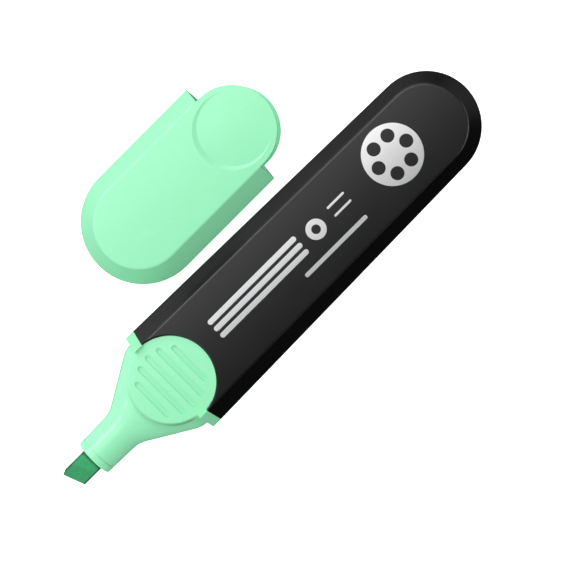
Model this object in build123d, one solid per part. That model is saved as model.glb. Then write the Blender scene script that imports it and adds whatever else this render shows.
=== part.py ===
from build123d import *
import math
import os

# Flat highlighter, uncapped, with its cap lying beside it.
# Millimetres. +Z is up. The pen lies on its lower flat panel, and its nib points to -X.
# The origin is the middle of the barrel's lower panel.
# Each pen part is built with the barrel's mouth at x = 0 and the pen's axis on the X axis.
# Each cap part is built with the cap's mouth at x = 0 and its closed end toward -X.

os.makedirs("parts", exist_ok=True)

# Barrel
BARREL_LENGTH = 85.0
BARREL_WIDTH = 26.0
BARREL_THICKNESS = 16.0
BARREL_NARROWING = 1.45
BARREL_BAND = 3.3
BARREL_END_BAND = 2.7
BARREL_WALL = 1.2
CREASE_RADIUS = 0.6
RIDGE_RADIUS = 3.0
RIB_THICKNESS = 1.0
RIB_SPACING = 8.0
RIB_GAP = 1.5

# Round cut-out in each wide face of the barrel, and the finger disc that fills it
CUTOUT_MARGIN = 0.2
CUTOUT_AHEAD_OF_MOUTH = 1.15
CUTOUT_BEVEL = 0.4
DISC_CLEARANCE = 0.1
DISC_EDGE_RADIUS = 0.2
DISC_FRONT_BEVEL = 0.6
DISC_RISE = 0.65
GROOVE_COUNT = 5
GROOVE_SPREAD = 0.74
GROOVE_WIDTH = 1.2
GROOVE_DEPTH = 0.35
GROOVE_MARGIN = 2.2

# Grip section, whose lengths run on from the barrel's mouth: collar, shoulder, cone, nose
COLLAR_LENGTH = 2.2
SHOULDER_LENGTH = 1.67
SHOULDER_CLEARANCE = 0.35
CONE_LENGTH = 12.0
CONE_CORNER_RADIUS = 6.0
CONE_FULLNESS = 0.0
NOSE_LENGTH = 9.0
NOSE_ROOT_RADIUS = 4.4
NOSE_TIP_RADIUS = 4.25
NOSE_LIP_RADIUS = 0.45
NOSE_RING_FROM_TIP = 1.5
NOSE_RING_WIDTH = 0.3
NOSE_RING_DEPTH = 0.18
SPIGOT_OVERLAP = 1.65
SPIGOT_CLEARANCE = 0.05
SECTION_WALL = 1.2
FRONT_WALL = 4.9
HOLDER_WALL = 1.0
HOLDER_START = 2.0

# Nib
NIB_WIDTH = 5.2
NIB_THICKNESS = 3.4
NIB_LONG_SIDE = 7.0
NIB_SHORT_SIDE = 5.2
NIB_CORNER_LENGTH = 1.2
NIB_CORNER_DEPTH = 0.5
NIB_SIDE_RADIUS = 0.4
NIB_EDGE_THICKNESS = 0.9
NIB_BEVEL_LENGTH = 3.6
NIB_TAIL_LENGTH = 1.5
NIB_TAIL_NARROWING = 1.0
NIB_IN_RESERVOIR = 6.0
NIB_CLEARANCE = 0.03
VENT_WIDTH = 0.8
VENT_DEPTH = 0.35

# Ink reservoir and its film
RESERVOIR_START = 0.6
RESERVOIR_REAR_ROOM = 19.4
RESERVOIR_SIDE_ROOM = 5.5
RESERVOIR_CLEARANCE = 0.1
FILM_THICKNESS = 0.15

# Cap
CAP_BAND = 3.5
CAP_WALL = 1.15
TONGUE_CLEARANCE = 0.1
PAD_MARGIN = 1.2
PAD_DOME_RADIUS = 200.0
PAD_DOME_RISE = 0.15
PAD_WALL_SPREAD = 1.5
PAD_WELL_DEPTH = 0.6

# Inner cap
SEAL_START = 2.2
SEAL_CLEARANCE = 0.05
INNER_CAP_WALL = 0.9
INNER_CAP_LEAD_IN = 0.4
NIB_TIP_ROOM = 0.8
STEM_RADIUS = 2.6
STEM_LENGTH = 5.2
STEM_CLEARANCE = 0.05
STEM_END_ROOM = 1.25
SOCKET_WALL = 1.1
SOCKET_LENGTH = 4.6

# Where the cap lies: how far back from its place on the pen, and its gap beside the barrel
CAP_BACK = 45.7
CAP_SIDE_GAP = 1.7

# Worked out from the sizes above
HALF_WIDTH = BARREL_WIDTH / 2
HALF_THICKNESS = BARREL_THICKNESS / 2
END_RADIUS = HALF_WIDTH - BARREL_NARROWING
END_CENTRE = BARREL_LENGTH - END_RADIUS
CUTOUT_RADIUS = HALF_WIDTH - BARREL_BAND - CUTOUT_MARGIN
SPIGOT_LENGTH = CUTOUT_RADIUS - CUTOUT_AHEAD_OF_MOUTH + SPIGOT_OVERLAP
SPIGOT_INSET = BARREL_WALL + SPIGOT_CLEARANCE
DISC_LEVEL = HALF_THICKNESS - SPIGOT_INSET
SHOULDER_HALF_WIDTH = HALF_WIDTH - CAP_WALL - SHOULDER_CLEARANCE
SHOULDER_HALF_HEIGHT = DISC_LEVEL - DISC_RISE
CONE_START = COLLAR_LENGTH + SHOULDER_LENGTH
CONE_END = CONE_START + CONE_LENGTH
NOSE_END = CONE_END + NOSE_LENGTH
NIB_TIP = NOSE_END + NIB_LONG_SIDE
RESERVOIR_END = BARREL_LENGTH - RESERVOIR_REAR_ROOM
RESERVOIR_WIDTH = BARREL_WIDTH - 2 * RESERVOIR_SIDE_ROOM
RESERVOIR_HEIGHT = 2 * (DISC_LEVEL - SECTION_WALL - RESERVOIR_CLEARANCE - FILM_THICKNESS)
TONGUE_RADIUS = CUTOUT_RADIUS - TONGUE_CLEARANCE
TONGUE_REACH = COLLAR_LENGTH - CUTOUT_AHEAD_OF_MOUTH
INNER_CAP_MOUTH = CONE_END + SEAL_START - COLLAR_LENGTH
INNER_CAP_DEPTH = NIB_TIP - COLLAR_LENGTH + NIB_TIP_ROOM
STEM_START = INNER_CAP_DEPTH + INNER_CAP_WALL
STEM_END = STEM_START + STEM_LENGTH
CAP_LENGTH = STEM_END + STEM_END_ROOM + CAP_WALL
CAP_END_CENTRE = CAP_LENGTH - HALF_WIDTH
CAP_ASIDE = BARREL_WIDTH + CAP_SIDE_GAP

# How finely the cone is drawn
CONE_SECTIONS = 11
OVAL_POINTS = 24

# Far enough to reach past every part
FAR = 2 * BARREL_LENGTH


def slab(x_from, x_to):
    """Everything between two planes across the pen."""
    block = Box(x_to - x_from, FAR, FAR)
    return Pos((x_from + x_to) / 2, 0, 0) * block


def ridged_half(half_width, half_panel, half_height, inset):
    """One side of a section: flat top and bottom, and two slanted faces that meet in a rounded ridge."""
    centre = half_width - RIDGE_RADIUS
    reach = math.hypot(half_panel - centre, half_height)
    slant = math.atan2(half_height, half_panel - centre) - math.acos(RIDGE_RADIUS / reach)
    radius = RIDGE_RADIUS - inset
    side = centre + radius * math.cos(slant)
    rise = radius * math.sin(slant)
    top = half_height - inset
    panel = side - (top - rise) * math.tan(slant)
    outline = Polyline((side, -rise), (panel, -top), (0, -top), (0, top), (panel, top), (side, rise))
    ridge = ThreePointArc((side, rise), (centre + radius, 0), (side, -rise))
    return make_face([outline, ridge])


def barrel_form(inset):
    """The barrel's outer form, or with an inset the form that lies that far inside it."""
    radius = END_RADIUS - inset
    mouth_side = HALF_WIDTH - inset
    reach = math.hypot(mouth_side, END_CENTRE)
    taper = math.acos(radius / reach) - math.atan2(END_CENTRE, mouth_side)
    mouth = Plane.YZ * ridged_half(HALF_WIDTH, HALF_WIDTH - BARREL_BAND, HALF_THICKNESS, inset)
    end_plane = Plane(
        origin=(END_CENTRE, 0, 0),
        x_dir=(math.sin(taper), math.cos(taper), 0),
        z_dir=(math.cos(taper), -math.sin(taper), 0),
    )
    end_panel = END_RADIUS - BARREL_END_BAND
    end = end_plane * ridged_half(END_RADIUS, end_panel, HALF_THICKNESS, inset)
    side = loft([mouth, end], ruled=True)
    turn = 180 - 2 * math.degrees(taper)
    rear = revolve(end, Axis((END_CENTRE, 0, 0), (0, 0, -1)), turn)
    return side + mirror(side, Plane.XZ) + rear


def panel_edges(body, level):
    """The creases where the flat panels meet the slanted faces, away from the mouth plane."""
    found = []
    for edge in body.edges():
        middle = edge @ 0.5
        flat = abs(edge.bounding_box().size.Z) < 1e-4
        along = edge.bounding_box().size.X > 1.0
        if flat and along and abs(abs(middle.Z) - level) < 1e-3:
            found.append(edge)
    return found


def reservoir_outline(growth):
    """The reservoir's flat-sided oval section, grown all round."""
    return SlotOverall(RESERVOIR_WIDTH + 2 * growth, RESERVOIR_HEIGHT + 2 * growth)


def reservoir_bar(x_from, x_to, growth):
    section = Plane.YZ.offset(x_from) * reservoir_outline(growth)
    return extrude(section, x_to - x_from)


def make_barrel():
    outer = barrel_form(0)
    outer = fillet(panel_edges(outer, HALF_THICKNESS), CREASE_RADIUS)
    shell = outer - barrel_form(BARREL_WALL)
    shell += barrel_ribs()
    return shell - cutouts()


def cutouts():
    """The round cut-outs through both wide faces, with bevelled outer rims."""
    rim_radius = CUTOUT_RADIUS + CUTOUT_BEVEL
    bevel = Pos(0, 0, HALF_THICKNESS - CUTOUT_BEVEL / 2) * Cone(CUTOUT_RADIUS, rim_radius, CUTOUT_BEVEL)
    cut = Cylinder(CUTOUT_RADIUS, FAR) + bevel + mirror(bevel, Plane.XY)
    return Pos(-CUTOUT_AHEAD_OF_MOUTH, 0, 0) * cut


def barrel_ribs():
    """Long ribs that hold the wrapped reservoir, and two webs that stop its rear end."""
    start = SPIGOT_LENGTH + RIB_GAP
    stop = RESERVOIR_END + RESERVOIR_CLEARANCE
    long_rib = Pos((start + BARREL_LENGTH) / 2, 0, 0) * Box(BARREL_LENGTH - start, RIB_THICKNESS, FAR)
    side_rib = Pos((start + BARREL_LENGTH) / 2, 0, 0) * Box(BARREL_LENGTH - start, FAR, RIB_THICKNESS)
    ribs = Pos(0, RIB_SPACING / 2, 0) * long_rib
    ribs += Pos(0, -RIB_SPACING / 2, 0) * long_rib
    side_rib -= Pos(BARREL_LENGTH, 0, 0) * Box(2 * (BARREL_LENGTH - stop), RIB_SPACING, RIB_SPACING)
    ribs += side_rib
    ribs -= reservoir_bar(start - 1, stop, FILM_THICKNESS + RESERVOIR_CLEARANCE)
    return ribs & barrel_form(BARREL_WALL / 2)


def cone_outline():
    """Half-width of the grip, forward from inside the collar: shoulder, cone, start of nose."""
    fall = SHOULDER_HALF_WIDTH - NOSE_ROOT_RADIUS
    half_turn = math.atan2(fall, CONE_LENGTH) / 2
    lead = CONE_CORNER_RADIUS * math.tan(half_turn) + COLLAR_LENGTH / 4
    return FilletPolyline(
        (CONE_START - lead, SHOULDER_HALF_WIDTH),
        (CONE_START, SHOULDER_HALF_WIDTH),
        (CONE_END, NOSE_ROOT_RADIUS),
        (CONE_END + lead, NOSE_ROOT_RADIUS),
        radius=CONE_CORNER_RADIUS,
    )


def grip_loft(inset):
    """The cone, as sections that change from a full oval at the collar to a circle."""
    outline = cone_outline()
    sections = []
    for number in range(CONE_SECTIONS):
        point = outline @ (number / (CONE_SECTIONS - 1))
        share = (point.Y - NOSE_ROOT_RADIUS) / (SHOULDER_HALF_WIDTH - NOSE_ROOT_RADIUS)
        half_height = NOSE_ROOT_RADIUS + share * (SHOULDER_HALF_HEIGHT - NOSE_ROOT_RADIUS)
        ring = oval(point.Y - inset, half_height - inset, 2 + CONE_FULLNESS * share)
        sections.append(Plane.YZ.offset(-point.X) * ring)
    return loft(sections)


def oval(half_width, half_height, fullness):
    """A closed oval: fullness 2 is an ellipse, more is squarer."""
    points = []
    for step in range(OVAL_POINTS):
        angle = 2 * math.pi * step / OVAL_POINTS
        across = math.copysign(abs(math.cos(angle)) ** (2 / fullness), math.cos(angle))
        upward = math.copysign(abs(math.sin(angle)) ** (2 / fullness), math.sin(angle))
        points.append((half_width * across, half_height * upward))
    return make_face(Spline(points, periodic=True))


def nose():
    """The straight end of the grip, turned about the pen's axis, with a rounded lip."""
    root = CONE_END + SHOULDER_LENGTH
    ring_front = NOSE_END - NOSE_RING_FROM_TIP
    ring_back = ring_front - NOSE_RING_WIDTH
    slope = (NOSE_ROOT_RADIUS - NOSE_TIP_RADIUS) / (NOSE_END - root)
    ring_radius = NOSE_TIP_RADIUS + slope * NOSE_RING_FROM_TIP
    lip_start = NOSE_END - NOSE_LIP_RADIUS
    lip_inner = NOSE_TIP_RADIUS - NOSE_LIP_RADIUS
    lip_turn = NOSE_LIP_RADIUS * math.sqrt(0.5)
    side = Polyline(
        (-lip_start, NOSE_TIP_RADIUS),
        (-ring_front, ring_radius),
        (-ring_front, ring_radius - NOSE_RING_DEPTH),
        (-ring_back, ring_radius - NOSE_RING_DEPTH),
        (-ring_back, ring_radius),
        (-root, NOSE_ROOT_RADIUS),
        (-root, 0),
        (-NOSE_END, 0),
        (-NOSE_END, lip_inner),
    )
    lip = ThreePointArc(
        (-NOSE_END, lip_inner),
        (-lip_start - lip_turn, lip_inner + lip_turn),
        (-lip_start, NOSE_TIP_RADIUS),
    )
    return revolve(make_face([side, lip]), Axis.X, 360)


def collar():
    """The band between barrel and cap, flush with both, sunk under the cap's tongues."""
    half = Plane.YZ * ridged_half(HALF_WIDTH, HALF_WIDTH - BARREL_BAND, HALF_THICKNESS, 0)
    band = extrude(half, -COLLAR_LENGTH)
    band = band + mirror(band, Plane.XZ)
    core = Box(FAR, FAR, 2 * DISC_LEVEL)
    sunk = Pos(-CUTOUT_AHEAD_OF_MOUTH, 0, 0) * Cylinder(CUTOUT_RADIUS, FAR)
    return band - (sunk - core)


def finger_discs():
    """Both finger discs, as one round block, with rims rounded in the barrel and bevelled on the cone."""
    block = Cylinder(CUTOUT_RADIUS - DISC_CLEARANCE, 2 * DISC_LEVEL)
    rims = block.edges().filter_by(GeomType.CIRCLE)
    place = Pos(-CUTOUT_AHEAD_OF_MOUTH, 0, 0)
    rear = place * fillet(rims, DISC_EDGE_RADIUS) & slab(-COLLAR_LENGTH, FAR)
    front = place * chamfer(rims, DISC_FRONT_BEVEL) & slab(-FAR, -COLLAR_LENGTH)
    return rear + front


def grip_grooves():
    """Straight round-ended grooves across both finger discs, as long as the disc allows."""
    reach = CUTOUT_RADIUS - GROOVE_MARGIN
    floor = Box(FAR, FAR, 2 * (DISC_LEVEL - GROOVE_DEPTH))
    grooves = Part()
    for number in range(GROOVE_COUNT):
        offset = (2 * number / (GROOVE_COUNT - 1) - 1) * GROOVE_SPREAD * reach
        length = 2 * math.sqrt(reach**2 - offset**2)
        slot = extrude(SlotOverall(length, GROOVE_WIDTH, rotation=90), DISC_LEVEL + 1, both=True)
        grooves += Pos(offset - CUTOUT_AHEAD_OF_MOUTH, 0, 0) * slot
    return grooves - floor


def nib_channel(growth):
    """The nib's section, grown all round, from the nose to behind the mouth."""
    width = NIB_WIDTH + 2 * growth
    height = NIB_THICKNESS + 2 * growth
    section = RectangleRounded(width, height, NIB_SIDE_RADIUS + growth)
    return extrude(Plane.YZ.offset(-NIB_TIP) * section, NIB_TIP)


def grip_hollow():
    """The space inside the grip section, less the tube in it that holds the nib."""
    cavity_end = CONE_END - FRONT_WALL
    spigot_hollow = barrel_form(SPIGOT_INSET + SECTION_WALL) & slab(-COLLAR_LENGTH / 2, BARREL_LENGTH)
    cone_hollow = grip_loft(SECTION_WALL) & slab(-cavity_end, 0)
    holder = nib_channel(NIB_CLEARANCE + HOLDER_WALL) & slab(-CONE_END, -HOLDER_START)
    return spigot_hollow + cone_hollow - holder


def make_grip_section():
    spigot = barrel_form(SPIGOT_INSET) & slab(0, SPIGOT_LENGTH)
    body = collar() + spigot + grip_loft(0) + nose() + finger_discs()
    vent_height = NIB_THICKNESS + 2 * NIB_CLEARANCE + 2 * VENT_DEPTH
    vents = Pos(-NIB_TIP / 2, 0, 0) * Box(NIB_TIP, VENT_WIDTH, vent_height)
    return body - grip_grooves() - grip_hollow() - nib_channel(NIB_CLEARANCE) - vents


def make_nib():
    """The nib: a flat slab with a slanted writing edge, bevelled from both wide faces."""
    half = NIB_WIDTH / 2
    short_tip = -NOSE_END - NIB_SHORT_SIDE
    tail = RESERVOIR_START + NIB_IN_RESERVOIR
    outline = Polyline(
        (tail, NIB_TAIL_NARROWING - half),
        (tail, half - NIB_TAIL_NARROWING),
        (tail - NIB_TAIL_LENGTH, half),
        (-NIB_TIP + NIB_CORNER_LENGTH, half),
        (-NIB_TIP, half - NIB_CORNER_DEPTH),
        (short_tip, -half),
        (tail - NIB_TAIL_LENGTH, -half),
        close=True,
    )
    body = extrude(make_face(outline), NIB_THICKNESS / 2, both=True)
    body = fillet(body.edges().filter_by(Axis.X), NIB_SIDE_RADIUS)
    slant = math.degrees(math.atan2(NIB_TIP + short_tip, NIB_WIDTH - NIB_CORNER_DEPTH))
    drop = (NIB_THICKNESS - NIB_EDGE_THICKNESS) / 2
    slope = math.degrees(math.atan2(drop, NIB_BEVEL_LENGTH))
    edge = Pos(short_tip, -half, NIB_EDGE_THICKNESS / 2) * Rot(0, 0, slant) * Rot(0, -slope, 0)
    bevel = edge * Pos(0, 0, NIB_TIP / 2) * Box(NIB_TIP, NIB_TIP, NIB_TIP)
    return body - bevel - mirror(bevel, Plane.XY)


def make_ink_reservoir():
    bar = reservoir_bar(RESERVOIR_START, RESERVOIR_END, 0)
    width = NIB_WIDTH + 2 * NIB_CLEARANCE
    height = NIB_THICKNESS + 2 * NIB_CLEARANCE
    pocket = RectangleRounded(width, height, NIB_SIDE_RADIUS)
    depth = NIB_IN_RESERVOIR + NIB_CLEARANCE
    return bar - extrude(Plane.YZ.offset(RESERVOIR_START) * pocket, depth)


def make_reservoir_film():
    wrap = reservoir_bar(RESERVOIR_START, RESERVOIR_END, FILM_THICKNESS)
    return wrap - reservoir_bar(RESERVOIR_START - 1, RESERVOIR_END + 1, 0)


def cap_form(inset):
    """The cap's outer form, or with an inset the form that lies that far inside it."""
    half = ridged_half(HALF_WIDTH, HALF_WIDTH - CAP_BAND, HALF_THICKNESS, inset)
    section = Plane.YZ * half
    side = extrude(section, -CAP_END_CENTRE)
    end = revolve(Pos(-CAP_END_CENTRE, 0, 0) * section, Axis((-CAP_END_CENTRE, 0, 0), (0, 0, 1)), 180)
    return side + mirror(side, Plane.XZ) + end


def tongues():
    """The round tongue that reaches past the mouth from each wide face."""
    disc = Pos(TONGUE_REACH, 0, 0) * Cylinder(TONGUE_RADIUS, BARREL_THICKNESS)
    root = Box(2 * TONGUE_REACH, 2 * TONGUE_RADIUS, BARREL_THICKNESS)
    between = Box(FAR, FAR, BARREL_THICKNESS - 2 * CAP_WALL)
    return disc + root - between


def pad_cut():
    """What is cut away over a thumb pad: a sloping well at the tongue's root, under a low dome."""
    radius = TONGUE_RADIUS - PAD_MARGIN
    crown = Pos(radius, 0, HALF_THICKNESS + PAD_DOME_RISE)
    dome = crown * Pos(0, 0, -PAD_DOME_RADIUS) * Sphere(PAD_DOME_RADIUS)
    well = Cone(radius - PAD_WALL_SPREAD, radius + PAD_WALL_SPREAD, 2 * PAD_WELL_DEPTH)
    return Pos(TONGUE_REACH, 0, 0) * (Pos(0, 0, HALF_THICKNESS) * well - dome)


def inner_cap_socket():
    """The ring inside the closed end that takes the inner cap's stem."""
    bore = STEM_RADIUS + STEM_CLEARANCE
    ring = Cylinder(bore + SOCKET_WALL, SOCKET_LENGTH) - Cylinder(bore, SOCKET_LENGTH)
    middle = CAP_LENGTH - CAP_WALL / 2 - SOCKET_LENGTH / 2
    return (Pos(-middle, 0, 0) * Rot(0, 90, 0) * ring) & cap_form(CAP_WALL / 2)


def make_cap():
    outer = cap_form(0)
    outer = fillet(panel_edges(outer, HALF_THICKNESS), CREASE_RADIUS)
    shell = outer - cap_form(CAP_WALL) + tongues() + inner_cap_socket()
    cut = pad_cut()
    return shell - cut - mirror(cut, Plane.XY)


def make_inner_cap():
    """The sealing sleeve: it grips the nose, and its stem is pushed into the cap's socket."""
    bore = NOSE_ROOT_RADIUS + SEAL_CLEARANCE
    outer = bore + INNER_CAP_WALL
    outline = Polyline(
        (-INNER_CAP_MOUTH, bore + INNER_CAP_LEAD_IN),
        (-INNER_CAP_MOUTH, outer),
        (-STEM_START, outer),
        (-STEM_START, STEM_RADIUS),
        (-STEM_END, STEM_RADIUS),
        (-STEM_END, 0),
        (-INNER_CAP_DEPTH, 0),
        (-INNER_CAP_DEPTH, bore),
        (-INNER_CAP_MOUTH - INNER_CAP_LEAD_IN, bore),
        close=True,
    )
    return revolve(make_face(outline), Axis.X, 360)


PEN_PLACE = Pos(-BARREL_LENGTH / 2, 0, HALF_THICKNESS)
CAP_ON_PEN = PEN_PLACE * Pos(-COLLAR_LENGTH, 0, 0)
CAP_PLACE = Pos(CAP_BACK, CAP_ASIDE, 0) * CAP_ON_PEN

PARTS = {
    "barrel": PEN_PLACE * make_barrel(),
    "grip_section": PEN_PLACE * make_grip_section(),
    "nib": PEN_PLACE * make_nib(),
    "ink_reservoir": PEN_PLACE * make_ink_reservoir(),
    "reservoir_film": PEN_PLACE * make_reservoir_film(),
    "cap": CAP_PLACE * make_cap(),
    "inner_cap": CAP_PLACE * make_inner_cap(),
}

for name, shape in PARTS.items():
    export_step(shape, f"parts/{name}.step")
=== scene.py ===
import math

import bpy
from mathutils import Matrix, Vector, noise


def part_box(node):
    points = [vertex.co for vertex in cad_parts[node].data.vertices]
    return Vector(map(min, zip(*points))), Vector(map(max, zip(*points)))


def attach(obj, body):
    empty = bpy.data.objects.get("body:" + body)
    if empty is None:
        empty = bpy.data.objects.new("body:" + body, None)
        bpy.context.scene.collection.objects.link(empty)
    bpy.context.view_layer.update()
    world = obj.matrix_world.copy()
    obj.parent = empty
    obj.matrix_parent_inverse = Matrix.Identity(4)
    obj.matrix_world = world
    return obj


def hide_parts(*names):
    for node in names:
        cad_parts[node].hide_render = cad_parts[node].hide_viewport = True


bl_info = {
    "name": "Flat highlighter looks",
    "version": (1, 0, 0),
    "blender": (4, 5, 0),
    "location": "View3D > Sidebar > Highlighter",
    "description": "Finishes a flat highlighter and its loose cap, and sets up a plain stage for it",
    "category": "Object",
}

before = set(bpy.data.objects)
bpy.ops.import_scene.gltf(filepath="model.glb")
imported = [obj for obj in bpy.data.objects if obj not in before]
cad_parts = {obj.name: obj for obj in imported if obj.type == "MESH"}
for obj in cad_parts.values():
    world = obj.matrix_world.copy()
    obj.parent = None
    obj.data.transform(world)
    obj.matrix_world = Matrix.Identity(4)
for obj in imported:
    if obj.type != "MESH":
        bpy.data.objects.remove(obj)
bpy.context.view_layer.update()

MM = 0.001

BARREL_LOW, BARREL_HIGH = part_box("barrel")
GRIP_LOW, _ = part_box("grip_section")
NIB_LOW, NIB_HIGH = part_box("nib")
CAP_LOW, CAP_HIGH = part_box("cap")
PEN_AXIS_Y = 0.0
PEN_AXIS_HEIGHT = (BARREL_LOW.z + BARREL_HIGH.z) / 2
CAP_AXIS_Y = (CAP_LOW.y + CAP_HIGH.y) / 2

# The print is on the upper panel alone, which lies above this height.
PRINT_HEIGHT = PEN_AXIS_HEIGHT + 6.0 * MM
PRINT_SOFTNESS = 0.04 * MM

# The finger discs' middle, and the ring of painted shade on their front rims, strongest on the side
# away from the key light.
DISC_X = BARREL_LOW.x - 1.15 * MM
DISC_FACE_RISE = 5.5 * MM
DISC_RIM_RADIUS = 9.15 * MM
DISC_RIM_WIDTH = 0.6 * MM
DISC_RIM_SHADE_TONE = 0.48
DISC_FRONT_X = DISC_X - 1.2 * MM
DISC_FRONT_FADE = 1.5 * MM
DISC_SIDE_START = 0.45
DISC_SIDE_FADE = 14.0 * MM

# Where the nib's wide faces, its narrow faces and its root begin, for the painted light on the faces
# and the painted shade on the flanks and at the root.
NIB_FACE_RISE = 1.45 * MM
NIB_FACE_FADE = 0.2 * MM
NIB_FLANK_Y = (NIB_HIGH.y - NIB_LOW.y) / 2 - 0.5 * MM
NIB_FLANK_FADE = 0.25 * MM
NIB_ROOT_X = GRIP_LOW.x - 0.95 * MM
NIB_ROOT_FADE = 0.5 * MM

# The felt's unevenness: coarse tufts, longer along the pen, with finer ones on them. The whole
# surface is sunk as well, so that the tufts stay about within the plain nib.
TUFT_CELL = 0.35 * MM
TUFT_STRETCH = 0.35
FINE_TUFT_RATIO = 2.7
COARSE_SHARE, FINE_SHARE = 0.7, 0.3
TUFT_SINK = 0.6
WORN_EDGE_PASSES = 2
LEAST_NIB_POINTS = 1000

# Each light's place and size in metres, the setting that holds its power, and the kind of ray that
# doesn't meet it: three lights act only in reflections, and the bounce never shows in them.
LIT_SPOT = (-0.01, 0.0, 0.0)
LIGHTS = (
    ("overhead_softbox", (0.02, 0.60, 0.86), (1.0, 1.2), "key_power", None),
    ("side_softbox", (0.0, 1.10, -0.30), (3.0, 1.2), "side_power", None),
    ("edge_softbox", (0.55, -0.60, 0.50), (1.0, 0.3), "edge_power", "visible_diffuse"),
    ("strip_softbox", (-0.01, 0.75, 0.65), (1.4, 0.14), "strip_power", "visible_diffuse"),
    ("rear_softbox", (1.10, -0.10, -0.35), (1.2, 1.2), "rear_power", "visible_diffuse"),
    ("front_softbox", (-1.0, -0.20, 0.05), (1.0, 0.8), "front_power", None),
    ("bounce_softbox", (0.0, 0.0, -0.60), (2.0, 2.0), "bounce_power", "visible_glossy"),
)


# ---------------------------------------------------------------- sizes and colours

class PlasticFinish(bpy.types.PropertyGroup):
    """Colours and surface of the moulded plastic parts."""
    black: bpy.props.FloatVectorProperty(
        name="Barrel black", description="Base colour of the barrel's plastic",
        default=(0.0060, 0.0060, 0.0066), size=3, subtype="COLOR", min=0.0, max=1.0)
    mint: bpy.props.FloatVectorProperty(
        name="Mint", description="Base colour of the grip section and the cap",
        default=(0.322, 0.868, 0.512), size=3, subtype="COLOR", min=0.0, max=1.0)
    natural: bpy.props.FloatVectorProperty(
        name="Inner cap", description="Base colour of the plain inner cap",
        default=(0.62, 0.80, 0.70), size=3, subtype="COLOR", min=0.0, max=1.0)
    black_roughness: bpy.props.FloatProperty(
        name="Barrel roughness", description="How matt the barrel's plastic is",
        default=0.34, min=0.0, max=1.0, subtype="FACTOR")
    mint_roughness: bpy.props.FloatProperty(
        name="Mint roughness", description="How matt the mint plastic is",
        default=0.25, min=0.0, max=1.0, subtype="FACTOR")
    glow_depth: bpy.props.FloatProperty(
        name="Glow depth", description="How far light travels inside the mint plastic",
        default=1.5 * MM, min=0.0, unit="LENGTH")
    grain: bpy.props.FloatProperty(
        name="Mould grain", description="Height of the fine texture left by the mould",
        default=0.0012 * MM, min=0.0, max=0.05 * MM, unit="LENGTH", precision=7)
    crown: bpy.props.FloatProperty(
        name="Panel crown radius",
        description="Radius of the slight crown that the shading gives the wide panels",
        default=0.135, min=0.02, max=10.0, unit="LENGTH")


class PrintLayout(bpy.types.PropertyGroup):
    """Sizes of the plain silver print on the barrel's upper panel."""
    silver: bpy.props.FloatVectorProperty(
        name="Silver", description="Base colour of the silver print",
        default=(0.88, 0.88, 0.885), size=3, subtype="COLOR", min=0.0, max=1.0)
    badge_centre: bpy.props.FloatVectorProperty(
        name="Badge centre", description="Middle of the round badge, along and across the barrel",
        default=(22.0 * MM, 0.8 * MM), size=2, unit="LENGTH")
    badge_radius: bpy.props.FloatProperty(
        name="Badge radius", description="Outer radius of the round badge",
        default=6.5 * MM, min=0.0, unit="LENGTH")
    spot_count: bpy.props.IntProperty(
        name="Badge spots", description="How many bare round spots stand in the badge's circle",
        default=6, min=0, max=16)
    spot_circle: bpy.props.FloatProperty(
        name="Spot circle", description="Radius of the circle on which the bare spots stand",
        default=4.0 * MM, min=0.0, unit="LENGTH")
    spot_radius: bpy.props.FloatProperty(
        name="Spot radius", description="Radius of each bare spot",
        default=1.45 * MM, min=0.0, unit="LENGTH")
    bars_start: bpy.props.FloatProperty(
        name="Bars start", description="Where the three wide bars start along the barrel",
        default=-29.6 * MM, unit="LENGTH")
    bars_stop: bpy.props.FloatProperty(
        name="Bars stop", description="Where the three wide bars stop along the barrel",
        default=-4.2 * MM, unit="LENGTH")
    bar_height: bpy.props.FloatProperty(
        name="Bar height", description="Height of each wide bar",
        default=1.15 * MM, min=0.0, unit="LENGTH")
    bar_pitch: bpy.props.FloatProperty(
        name="Bar pitch", description="Distance from one wide bar to the next",
        default=1.85 * MM, min=0.0, unit="LENGTH")


class NibShape(bpy.types.PropertyGroup):
    """How the felt nib is made."""
    felt: bpy.props.FloatVectorProperty(
        name="Felt", description="Base colour of the ink-soaked felt",
        default=(0.036, 0.375, 0.14), size=3, subtype="COLOR", min=0.0, max=1.0)
    voxel: bpy.props.FloatProperty(
        name="Felt fineness", description="Size of the cells that the nib's surface is drawn with",
        default=0.10 * MM, min=0.05 * MM, max=1.0 * MM, unit="LENGTH", precision=6)
    fuzz: bpy.props.FloatProperty(
        name="Felt unevenness", description="How far the felt's surface rises and falls",
        default=0.018 * MM, min=0.0, max=0.03 * MM, unit="LENGTH", precision=6)


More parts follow.
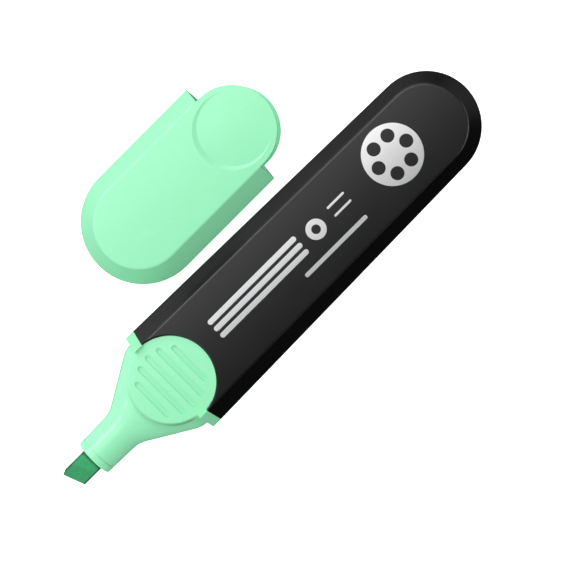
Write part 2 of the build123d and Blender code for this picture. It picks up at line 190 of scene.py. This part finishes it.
class StageSetup(bpy.types.PropertyGroup):
    """Camera, light and floor."""
    aim: bpy.props.FloatVectorProperty(
        name="Aim", description="Point in the middle of the view",
        default=(-13.064 * MM, -2.599 * MM, 10.0 * MM), size=3, unit="LENGTH")
    distance: bpy.props.FloatProperty(
        name="Camera distance", description="How far the camera is from the point it aims at",
        default=0.70, min=0.1, unit="LENGTH")
    span: bpy.props.FloatProperty(
        name="Width of view", description="Width that the view takes in at the point it aims at",
        default=118.56 * MM, min=0.01, unit="LENGTH")
    lean: bpy.props.FloatProperty(
        name="Camera lean",
        description="How far the camera stands off straight above, toward the barrel's rear",
        default=math.radians(3.8), subtype="ANGLE")
    key_power: bpy.props.FloatProperty(
        name="Softbox power",
        description="Power of the large softbox above the cap's side, in watts",
        default=7.9, min=0.0)
    side_power: bpy.props.FloatProperty(
        name="Side softbox power", description="Power of the low softbox beyond the cap, in watts",
        default=8.5, min=0.0)
    strip_power: bpy.props.FloatProperty(
        name="Strip light power",
        description="Power of the narrow light on the creases, only in reflections, in watts",
        default=4.0, min=0.0)
    rear_power: bpy.props.FloatProperty(
        name="Rear softbox power",
        description="Power of the low light beyond the rear, only in reflections, in watts",
        default=1.4, min=0.0)
    edge_power: bpy.props.FloatProperty(
        name="Edge light power",
        description="Power of the light over the rear and near side, only in reflections, in watts",
        default=4.0, min=0.0)
    front_power: bpy.props.FloatProperty(
        name="Front softbox power", description="Power of the low softbox beyond the nib, in watts",
        default=2.2, min=0.0)
    bounce_power: bpy.props.FloatProperty(
        name="Bounce power",
        description="Power of the light that comes up from under the pen, in watts",
        default=2.6, min=0.0)
    fill: bpy.props.FloatProperty(
        name="Fill", description="Strength of the even light from all round",
        default=0.63, min=0.0)
    floor: bpy.props.FloatVectorProperty(
        name="Floor", description="Base colour of the floor",
        default=(0.90, 0.90, 0.90), size=3, subtype="COLOR", min=0.0, max=1.0)
    floor_glow: bpy.props.FloatProperty(
        name="Floor glow", description="Light that the floor gives off, which keeps shadows pale",
        default=0.8, min=0.0)


# ---------------------------------------------------------------- shader expressions

class Value:
    """One output socket of a shader, on which Python's operators build Math nodes."""

    def __init__(self, shader, socket):
        self.shader = shader
        self.socket = socket

    def math(self, operation, *terms, clamp=False):
        settings = {"operation": operation, "use_clamp": clamp}
        return self.shader.add("ShaderNodeMath", settings, dict(enumerate(terms)))

    def __add__(self, other):
        return self.math("ADD", self, other)

    def __radd__(self, other):
        return self.math("ADD", other, self)

    def __sub__(self, other):
        return self.math("SUBTRACT", self, other)

    def __rsub__(self, other):
        return self.math("SUBTRACT", other, self)

    def __mul__(self, other):
        return self.math("MULTIPLY", self, other)

    def __rmul__(self, other):
        return self.math("MULTIPLY", other, self)

    def __truediv__(self, other):
        return self.math("DIVIDE", self, other)

    def __rtruediv__(self, other):
        return self.math("DIVIDE", other, self)

    def __pow__(self, other):
        return self.math("POWER", self, other)

    def __rpow__(self, other):
        return self.math("POWER", other, self)

    def __abs__(self):
        return self.math("ABSOLUTE", self)

    def root(self):
        return self.math("SQRT", self)

    def at_least(self, other):
        return self.math("MAXIMUM", self, other)

    def above(self, other):
        return self.math("GREATER_THAN", self, other)

    def sine(self):
        return self.math("SINE", self)

    def clamped(self):
        return self.math("ADD", self, 0.0, clamp=True)


class Shader:
    """A material's nodes, ending in one Principled shader."""

    def __init__(self, name):
        self.material = bpy.data.materials.new(name)
        self.material.use_nodes = True
        self.tree = self.material.node_tree
        self.tree.nodes.clear()

    def add(self, kind, settings=None, sockets=None, output=0):
        """Adds a node: settings first, then its sockets' values or links. Gives one output."""
        node = self.tree.nodes.new(kind)
        for name, value in (settings or {}).items():
            if name == "stops":
                self.set_stops(node.color_ramp, value)
            else:
                setattr(node, name, value)
        for key, value in (sockets or {}).items():
            self.plug(node.inputs[key], value)
        return Value(self, node.outputs[output]) if node.outputs else None

    def set_stops(self, ramp, stops):
        while len(ramp.elements) < len(stops):
            ramp.elements.new(1.0)
        for element, (place, colour) in zip(ramp.elements, stops):
            element.position = place
            element.color = colour

    def plug(self, socket, value):
        if isinstance(value, Value):
            self.tree.links.new(value.socket, socket)
        else:
            socket.default_value = value

    def place(self):
        """Coordinates on the part, in metres."""
        return self.add("ShaderNodeTexCoord", output="Object")

    def numbers(self, where):
        """The three numbers in a vector."""
        first = self.add("ShaderNodeSeparateXYZ", None, {"Vector": where})
        return [Value(self, socket) for socket in first.socket.node.outputs]

    def stretched(self, where, scale):
        return self.add("ShaderNodeVectorMath", {"operation": "MULTIPLY"}, {0: where, 1: scale})

    def noise(self, where, cell, detail=2.0, roughness=0.5):
        """Noise from 0 to 1, with cells of the given size in metres."""
        sockets = {"Vector": where, "Scale": 1.0 / cell, "Detail": detail, "Roughness": roughness}
        return self.add("ShaderNodeTexNoise", {"noise_dimensions": "3D"}, sockets)

    def mix(self, factor, low, high):
        """A colour between two colours."""
        sockets = {0: factor, 6: low, 7: high}
        return self.add("ShaderNodeMix", {"data_type": "RGBA"}, sockets, output=2)

    def toned(self, factor, colour, low, high):
        """A colour whose tone runs from one share of it to another."""
        return self.mix(factor, scaled(colour, low), scaled(colour, high))

    def bump(self, height, under=None):
        """The normal of a surface with a height in metres, over another normal if one is given."""
        sockets = {"Height": height, "Strength": 1.0, "Distance": 1.0}
        if under is not None:
            sockets["Normal"] = under
        return self.add("ShaderNodeBump", None, sockets)

    def finish(self, sockets):
        surface = self.add("ShaderNodeBsdfPrincipled", None, sockets)
        self.add("ShaderNodeOutputMaterial", None, {"Surface": surface})
        return self.material


def scaled(colour, share):
    return (colour[0] * share, colour[1] * share, colour[2] * share, 1.0)


def weighted(*terms):
    """The sum of some values, each times its share."""
    total, *others = [value * share for value, share in terms]
    for other in others:
        total = total + other
    return total


def around(middle, factor, spread):
    """A number that noise moves up and down, over the given spread in all."""
    return middle - spread / 2 + factor * spread


def rising(number, start, width):
    """0 up to the start, then rising evenly to 1 over the width."""
    return ((number - start) / width).clamped()


def bar_mask(along, across, start, stop, middle, height):
    """1 inside a round-ended bar, 0 outside."""
    half = (stop - start) / 2
    radius = height / 2
    beyond = (abs(along - (start + half)) - (half - radius)).at_least(0.0)
    distance = (beyond ** 2.0 + (across - middle) ** 2.0).root() - radius
    return (0.5 - distance / PRINT_SOFTNESS).clamped()


def disc_mask(along, across, centre, radius):
    """1 inside a circle, 0 outside."""
    distance = ((along - centre[0]) ** 2.0 + (across - centre[1]) ** 2.0).root() - radius
    return (0.5 - distance / PRINT_SOFTNESS).clamped()


def crown_height(across, radius):
    """The height of a wide, slightly crowned face."""
    return (across ** 2.0) * (-0.5 / radius)


# ---------------------------------------------------------------- finishes

def print_mask(x, y, z, layout):
    """The silver print on the upper panel: three bars, a ring, thin rules and a spotted badge."""
    middle = 1.0 * MM
    pitch = layout.bar_pitch
    bars = [
        bar_mask(x, y, layout.bars_start, layout.bars_stop, middle=row, height=layout.bar_height)
        for row in (middle - pitch, middle, middle + pitch)]
    rules = [
        bar_mask(x, y, start=4.6 * MM, stop=9.4 * MM, middle=2.4 * MM, height=0.5 * MM),
        bar_mask(x, y, start=4.6 * MM, stop=9.4 * MM, middle=0.2 * MM, height=0.5 * MM),
        bar_mask(x, y, start=-8.4 * MM, stop=9.4 * MM, middle=-4.4 * MM, height=0.9 * MM)]
    ring = (disc_mask(x, y, centre=(0.0, middle), radius=2.2 * MM)
            - disc_mask(x, y, centre=(0.0, middle), radius=1.0 * MM))
    total = disc_mask(x, y, layout.badge_centre, layout.badge_radius) + ring
    for number in range(layout.spot_count):
        turn = 2 * math.pi * number / layout.spot_count
        spot_x = layout.badge_centre[0] + layout.spot_circle * math.cos(turn)
        spot_y = layout.badge_centre[1] + layout.spot_circle * math.sin(turn)
        total = total - disc_mask(x, y, (spot_x, spot_y), layout.spot_radius)
    for piece in bars + rules:
        total = total + piece
    return (total * z.above(PRINT_HEIGHT)).clamped()


def satin_black(scene):
    """The barrel's plastic: near-black, satin, with fine mould grain and the silver print."""
    ink_height, ink_roughening, grain_roughening = 0.004 * MM, 0.06, 0.03
    finish, layout = scene.plastic_finish, scene.print_layout
    shader = Shader("satin_black_plastic")
    where = shader.place()
    x, y, z = shader.numbers(where)
    grain = shader.noise(where, cell=0.22 * MM, detail=3.0)
    cloud = shader.noise(where, cell=9.0 * MM)
    speck = shader.noise(where, cell=0.10 * MM, detail=1.0)
    ink = print_mask(x, y, z, layout)
    plastic = shader.toned(cloud, finish.black, low=0.85, high=1.15)
    silver = shader.toned(speck, layout.silver, low=0.86, high=1.14)
    bare_roughness = around(finish.black_roughness, cloud, spread=0.06) + grain * grain_roughening
    crowned = shader.bump(crown_height(y - PEN_AXIS_Y, finish.crown))
    return shader.finish({
        "Base Color": shader.mix(ink, plastic, silver),
        "Roughness": bare_roughness + ink * ink_roughening,
        "Metallic": ink,
        "Normal": shader.bump(weighted((grain, finish.grain), (ink, ink_height)), under=crowned),
        "IOR": 1.5,
    })


def rim_shade_mask(x, y, z):
    """Up to 1 on the finger discs' bevelled front rims, where shade is painted in, most on the side
    away from the key light; 0 elsewhere.
    """
    distance = ((x - DISC_X) ** 2.0 + y ** 2.0).root()
    ring = (1.0 - abs(distance - DISC_RIM_RADIUS) / DISC_RIM_WIDTH).clamped()
    front = ((DISC_FRONT_X - x) / DISC_FRONT_FADE).clamped()
    high = abs(z - PEN_AXIS_HEIGHT).above(DISC_FACE_RISE)
    shaded_side = (DISC_SIDE_START - y / DISC_SIDE_FADE).clamped()
    return ring * front * high * shaded_side


def satin_mint(scene, name, axis_y):
    """The mint plastic of the grip section and the cap, with painted shade on the finger discs' front
    rims.
    """
    grain_roughening = 0.03
    finish = scene.plastic_finish
    shader = Shader(name)
    where = shader.place()
    x, y, z = shader.numbers(where)
    grain = shader.noise(where, cell=0.24 * MM, detail=3.0)
    cloud = shader.noise(where, cell=7.0 * MM)
    plain = shader.toned(cloud, finish.mint, low=0.99, high=1.01)
    crowned = shader.bump(crown_height(y - axis_y, finish.crown))
    return shader.finish({
        # Painted shade: the finger discs' front rims are darkened in the base colour.
        "Base Color": shader.mix(rim_shade_mask(x, y, z), plain, scaled(finish.mint, DISC_RIM_SHADE_TONE)),
        "Roughness": around(finish.mint_roughness, cloud, spread=0.03) + grain * grain_roughening,
        "Normal": shader.bump(grain * finish.grain, under=crowned),
        "Subsurface Weight": 0.15,
        "Subsurface Radius": (0.8, 1.0, 0.9),
        "Subsurface Scale": finish.glow_depth,
        "IOR": 1.5,
    })


def natural_plastic(scene):
    """The inner cap's plain plastic, slightly milky, with faint turned rings from its mould."""
    ring_pitch, ring_height, cloud_height = 0.35 * MM, 0.001 * MM, 0.01 * MM
    shader = Shader("natural_inner_cap_plastic")
    where = shader.place()
    x, _, _ = shader.numbers(where)
    cloud = shader.noise(where, cell=3.0 * MM, detail=3.0)
    rings = (x * (2 * math.pi / ring_pitch)).sine()
    return shader.finish({
        "Base Color": shader.toned(cloud, scene.plastic_finish.natural, low=0.93, high=1.05),
        "Roughness": around(0.51, cloud, spread=0.1),
        "Normal": shader.bump(weighted((rings, ring_height), (cloud, cloud_height))),
        "IOR": 1.5,
    })


def soaked_felt(scene):
    """The nib's felt: fibres along the pen, with painted light on its wide faces and painted shade on
    its flanks and at its root, where it meets the nose.
    """
    face_tone, face_painted_light, flank_painted_shade, root_painted_shade, least_tone = 0.86, 0.16, 0.55, 0.62, 0.15
    darkest_share = 0.05
    felt = scene.nib_shape.felt
    shader = Shader("ink_soaked_felt")
    where = shader.place()
    x, y, z = shader.numbers(where)
    lengthwise = shader.stretched(where, (0.22, 1.0, 1.0))
    fibres = shader.noise(lengthwise, cell=0.13 * MM, detail=4.0, roughness=0.6)
    tufts = shader.noise(where, cell=0.55 * MM, detail=3.0)
    pool = shader.noise(where, cell=2.2 * MM)
    depth = weighted((fibres, 0.5), (tufts, 0.3), (pool, 0.2)).clamped()
    # Painted light on the wide faces, painted shade on the flanks and at the root against the nose.
    flat = rising(abs(z - PEN_AXIS_HEIGHT), NIB_FACE_RISE, NIB_FACE_FADE)
    flank = rising(abs(y), NIB_FLANK_Y, NIB_FLANK_FADE)
    root = rising(x, NIB_ROOT_X, NIB_ROOT_FADE)
    shade = face_tone + flat * face_painted_light - flank * flank_painted_shade - root * root_painted_shade
    stops = [(0.30, scaled(felt, 0.72)), (0.52, scaled(felt, 1.0)), (0.74, scaled(felt, 1.28))]
    colour = shader.add("ShaderNodeValToRGB", {"stops": stops}, {"Fac": depth})
    return shader.finish({
        "Base Color": shader.mix(shade.at_least(least_tone), scaled(felt, darkest_share), colour),
        "Roughness": around(0.72, fibres, spread=0.2),
        "Normal": shader.bump(weighted((fibres, 0.022 * MM), (tufts, 0.02 * MM))),
        "Sheen Weight": 0.08,
        "IOR": 1.4,
    })


def soaked_fibre(scene):
    """The reservoir's bonded fibre, in long bundles along the barrel."""
    dry_fibre, wet_fibre = (0.62, 0.86, 0.66, 1.0), (0.20, 0.62, 0.32, 1.0)
    bundle_height = 0.06 * MM
    shader = Shader("ink_soaked_fibre")
    where = shader.place()
    lengthwise = shader.stretched(where, (0.06, 1.0, 1.0))
    bundles = shader.noise(lengthwise, cell=0.5 * MM, detail=5.0, roughness=0.65)
    wet = shader.noise(where, cell=6.0 * MM)
    dryness = weighted((bundles, 0.6), (wet, 0.4)).clamped()
    return shader.finish({
        "Base Color": shader.mix(dryness, wet_fibre, dry_fibre),
        "Roughness": around(0.8, bundles, spread=0.2),
        "Normal": shader.bump(bundles * bundle_height),
    })


def crinkled_film(scene):
    """The thin wrap round the reservoir, with slack folds along it."""
    hollow_tint, fold_tint = (0.66, 0.80, 0.72, 1.0), (0.86, 0.93, 0.89, 1.0)
    fold_height = 0.12 * MM
    shader = Shader("crinkled_wrap_film")
    lengthwise = shader.stretched(shader.place(), (0.25, 1.0, 1.0))
    folds = shader.noise(lengthwise, cell=1.6 * MM, detail=3.0)
    return shader.finish({
        "Base Color": shader.mix(folds, hollow_tint, fold_tint),
        "Roughness": around(0.21, folds, spread=0.14),
        "Normal": shader.bump(folds * fold_height),
        "Alpha": around(0.7, folds, spread=0.3),
        "IOR": 1.5,
    })


def paint(node, material):
    """Gives a carried-over part its finish."""
    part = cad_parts[node]
    if not part.material_slots:
        part.data.materials.append(material)
    for slot in part.material_slots:
        slot.link = "OBJECT"
        slot.material = material
    return part


# ---------------------------------------------------------------- the nib's mesh

def felt_copy(node, name, voxel, fuzz):
    """A copy of a part with felted edges: remeshed finely, smoothed, and made slightly uneven."""
    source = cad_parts[node]
    mesh = source.data.copy()
    mesh.name = name
    mesh.materials.clear()
    piece = bpy.data.objects.new(name, mesh)
    bpy.context.scene.collection.objects.link(piece)
    remesh = piece.modifiers.new("cells", "REMESH")
    remesh.mode = "VOXEL"
    remesh.voxel_size = voxel
    smooth = piece.modifiers.new("worn_edges", "SMOOTH")
    smooth.factor = 0.5
    smooth.iterations = WORN_EDGE_PASSES
    bpy.context.view_layer.update()
    evaluated = piece.evaluated_get(bpy.context.evaluated_depsgraph_get())
    made = bpy.data.meshes.new_from_object(evaluated)
    piece.modifiers.clear()
    piece.data = made
    made.name = name
    normals = [vertex.normal.copy() for vertex in made.vertices]
    for vertex, normal in zip(made.vertices, normals):
        spot = Vector((vertex.co.x * TUFT_STRETCH, vertex.co.y, vertex.co.z)) / TUFT_CELL
        coarse, fine = noise.noise(spot), noise.noise(spot * FINE_TUFT_RATIO)
        rise = coarse * COARSE_SHARE + fine * FINE_SHARE
        vertex.co += normal * (fuzz * (rise - TUFT_SINK))
    made.shade_smooth()
    return piece


# ---------------------------------------------------------------- stage

def make_floor(setup):
    """A wide pale floor under the pen, which doesn't throw light back onto it."""
    reach, steps = 12.0, 24
    mesh = bpy.data.meshes.new("floor")
    points = []
    faces = []
    for row in range(steps + 1):
        for column in range(steps + 1):
            points.append((reach * (2 * column / steps - 1), reach * (2 * row / steps - 1), 0.0))
    for row in range(steps):
        for column in range(steps):
            corner = row * (steps + 1) + column
            faces.append((corner, corner + 1, corner + steps + 2, corner + steps + 1))
    mesh.from_pydata(points, [], faces)
    floor = bpy.data.objects.new("floor", mesh)
    bpy.context.scene.collection.objects.link(floor)
    shader = Shader("pale_floor")
    cloud = shader.noise(shader.place(), cell=0.4)
    mesh.materials.append(shader.finish({
        "Base Color": shader.toned(cloud, setup.floor, low=0.99, high=1.01),
        "Roughness": 0.9,
        "Specular IOR Level": 0.1,
        "Emission Color": (1.0, 1.0, 1.0, 1.0),
        "Emission Strength": setup.floor_glow,
    }))
    floor.visible_diffuse = False
    floor.visible_glossy = False
    floor.visible_shadow = False


def add_softbox(scene, name, place, size, power):
    """A rectangular area light that faces the middle of the pen."""
    data = bpy.data.lights.new(name, "AREA")
    data.shape = "RECTANGLE"
    data.size, data.size_y = size
    data.energy = power
    light = bpy.data.objects.new(name, data)
    light.location = place
    light.rotation_mode = "QUATERNION"
    light.rotation_quaternion = (Vector(LIT_SPOT) - Vector(place)).to_track_quat("-Z", "Y")
    light.visible_camera = False
    scene.collection.objects.link(light)
    return light


def make_light(scene, setup):
    """The table's lights, and an even fill from all round that doesn't show in reflections."""
    for name, place, size, power, unmet_rays in LIGHTS:
        light = add_softbox(scene, name, place, size, getattr(setup, power))
        if unmet_rays:
            setattr(light, unmet_rays, False)
    world = bpy.data.worlds.new("even_fill")
    world.use_nodes = True
    background = world.node_tree.nodes["Background"]
    background.inputs["Color"].default_value = (1.0, 1.0, 1.0, 1.0)
    background.inputs["Strength"].default_value = setup.fill
    world.cycles_visibility.glossy = False
    scene.world = world
    scene.view_settings.view_transform = "Standard"


def make_camera(scene, setup):
    """Almost straight above the pen, turned so that the nib points to the view's lower left."""
    back = Vector((math.sin(setup.lean), 0.0, math.cos(setup.lean))).normalized()
    up_hint = Vector((1.0, 1.0, 0.0)).normalized()
    right = (-back).cross(up_hint).normalized()
    up = right.cross(-back)
    data = bpy.data.cameras.new("camera")
    data.sensor_width = 36.0
    data.lens = data.sensor_width * setup.distance / setup.span
    data.clip_start, data.clip_end = 0.01, 50.0
    camera = bpy.data.objects.new("camera", data)
    turn = Matrix((right, up, back)).transposed().to_4x4()
    camera.matrix_world = Matrix.Translation(Vector(setup.aim) + back * setup.distance) @ turn
    scene.collection.objects.link(camera)
    scene.camera = camera


# ---------------------------------------------------------------- operators

class HIGHLIGHTER_OT_barrel(bpy.types.Operator):
    """Give the barrel its satin black plastic and the plain silver print"""
    bl_idname = "highlighter.barrel"
    bl_label = "Finish barrel"

    def execute(self, context):
        barrel = paint("barrel", satin_black(context.scene))
        barrel.visible_diffuse = False
        return {"FINISHED"}


class HIGHLIGHTER_OT_grip_section(bpy.types.Operator):
    """Give the grip section its satin mint plastic"""
    bl_idname = "highlighter.grip_section"
    bl_label = "Finish grip section"

    def execute(self, context):
        paint("grip_section", satin_mint(context.scene, "satin_mint_grip_plastic", PEN_AXIS_Y))
        return {"FINISHED"}


class HIGHLIGHTER_OT_cap(bpy.types.Operator):
    """Give the cap its mint plastic and the inner cap its plain plastic"""
    bl_idname = "highlighter.cap"
    bl_label = "Finish cap and inner cap"

    def execute(self, context):
        cap = paint("cap", satin_mint(context.scene, "satin_mint_cap_plastic", CAP_AXIS_Y))
        cap.visible_glossy = False
        paint("inner_cap", natural_plastic(context.scene))
        return {"FINISHED"}


class HIGHLIGHTER_OT_nib(bpy.types.Operator):
    """Build the felt nib with softened edges, in place of the plain one"""
    bl_idname = "highlighter.nib"
    bl_label = "Build felt nib"

    def execute(self, context):
        shape = context.scene.nib_shape
        nib = felt_copy("nib", "felt_nib", shape.voxel, shape.fuzz)
        if len(nib.data.vertices) < LEAST_NIB_POINTS:
            raise RuntimeError("the felt nib came out with too few points")
        nib.data.materials.append(soaked_felt(context.scene))
        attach(nib, "pen")
        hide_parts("nib")
        return {"FINISHED"}


class HIGHLIGHTER_OT_ink_store(bpy.types.Operator):
    """Give the ink reservoir its fibre and the film round it its crinkled wrap"""
    bl_idname = "highlighter.ink_store"
    bl_label = "Finish ink store"

    def execute(self, context):
        paint("ink_reservoir", soaked_fibre(context.scene))
        paint("reservoir_film", crinkled_film(context.scene))
        return {"FINISHED"}


class HIGHLIGHTER_OT_stage(bpy.types.Operator):
    """Set up the pale floor, the soft light and the camera"""
    bl_idname = "highlighter.stage"
    bl_label = "Set up stage"

    def execute(self, context):
        setup = context.scene.stage_setup
        make_floor(setup)
        make_light(context.scene, setup)
        make_camera(context.scene, setup)
        return {"FINISHED"}


# ---------------------------------------------------------------- sidebar and registration

OPERATORS = (
    HIGHLIGHTER_OT_barrel,
    HIGHLIGHTER_OT_grip_section,
    HIGHLIGHTER_OT_cap,
    HIGHLIGHTER_OT_nib,
    HIGHLIGHTER_OT_ink_store,
    HIGHLIGHTER_OT_stage,
)

GROUPS = {
    "plastic_finish": PlasticFinish,
    "print_layout": PrintLayout,
    "nib_shape": NibShape,
    "stage_setup": StageSetup,
}


class HIGHLIGHTER_PT_panel(bpy.types.Panel):
    """The highlighter's sizes, colours and building steps"""
    bl_idname = "HIGHLIGHTER_PT_panel"
    bl_label = "Highlighter"
    bl_space_type = "VIEW_3D"
    bl_region_type = "UI"
    bl_category = "Highlighter"

    def draw(self, context):
        for group in GROUPS:
            box = self.layout.box()
            settings = getattr(context.scene, group)
            for name in settings.__annotations__:
                box.prop(settings, name)
        for operator in OPERATORS:
            self.layout.operator(operator.bl_idname)


def register():
    for group, kind in GROUPS.items():
        bpy.utils.register_class(kind)
        setattr(bpy.types.Scene, group, bpy.props.PointerProperty(type=kind))
    for kind in OPERATORS + (HIGHLIGHTER_PT_panel,):
        bpy.utils.register_class(kind)


def unregister():
    for kind in (HIGHLIGHTER_PT_panel,) + OPERATORS[::-1]:
        bpy.utils.unregister_class(kind)
    for group, kind in reversed(GROUPS.items()):
        delattr(bpy.types.Scene, group)
        bpy.utils.unregister_class(kind)


def main():
    register()
    bpy.ops.highlighter.barrel()
    bpy.ops.highlighter.grip_section()
    bpy.ops.highlighter.cap()
    bpy.ops.highlighter.nib()
    bpy.ops.highlighter.ink_store()
    bpy.ops.highlighter.stage()


if __name__ == "__main__":
    main()
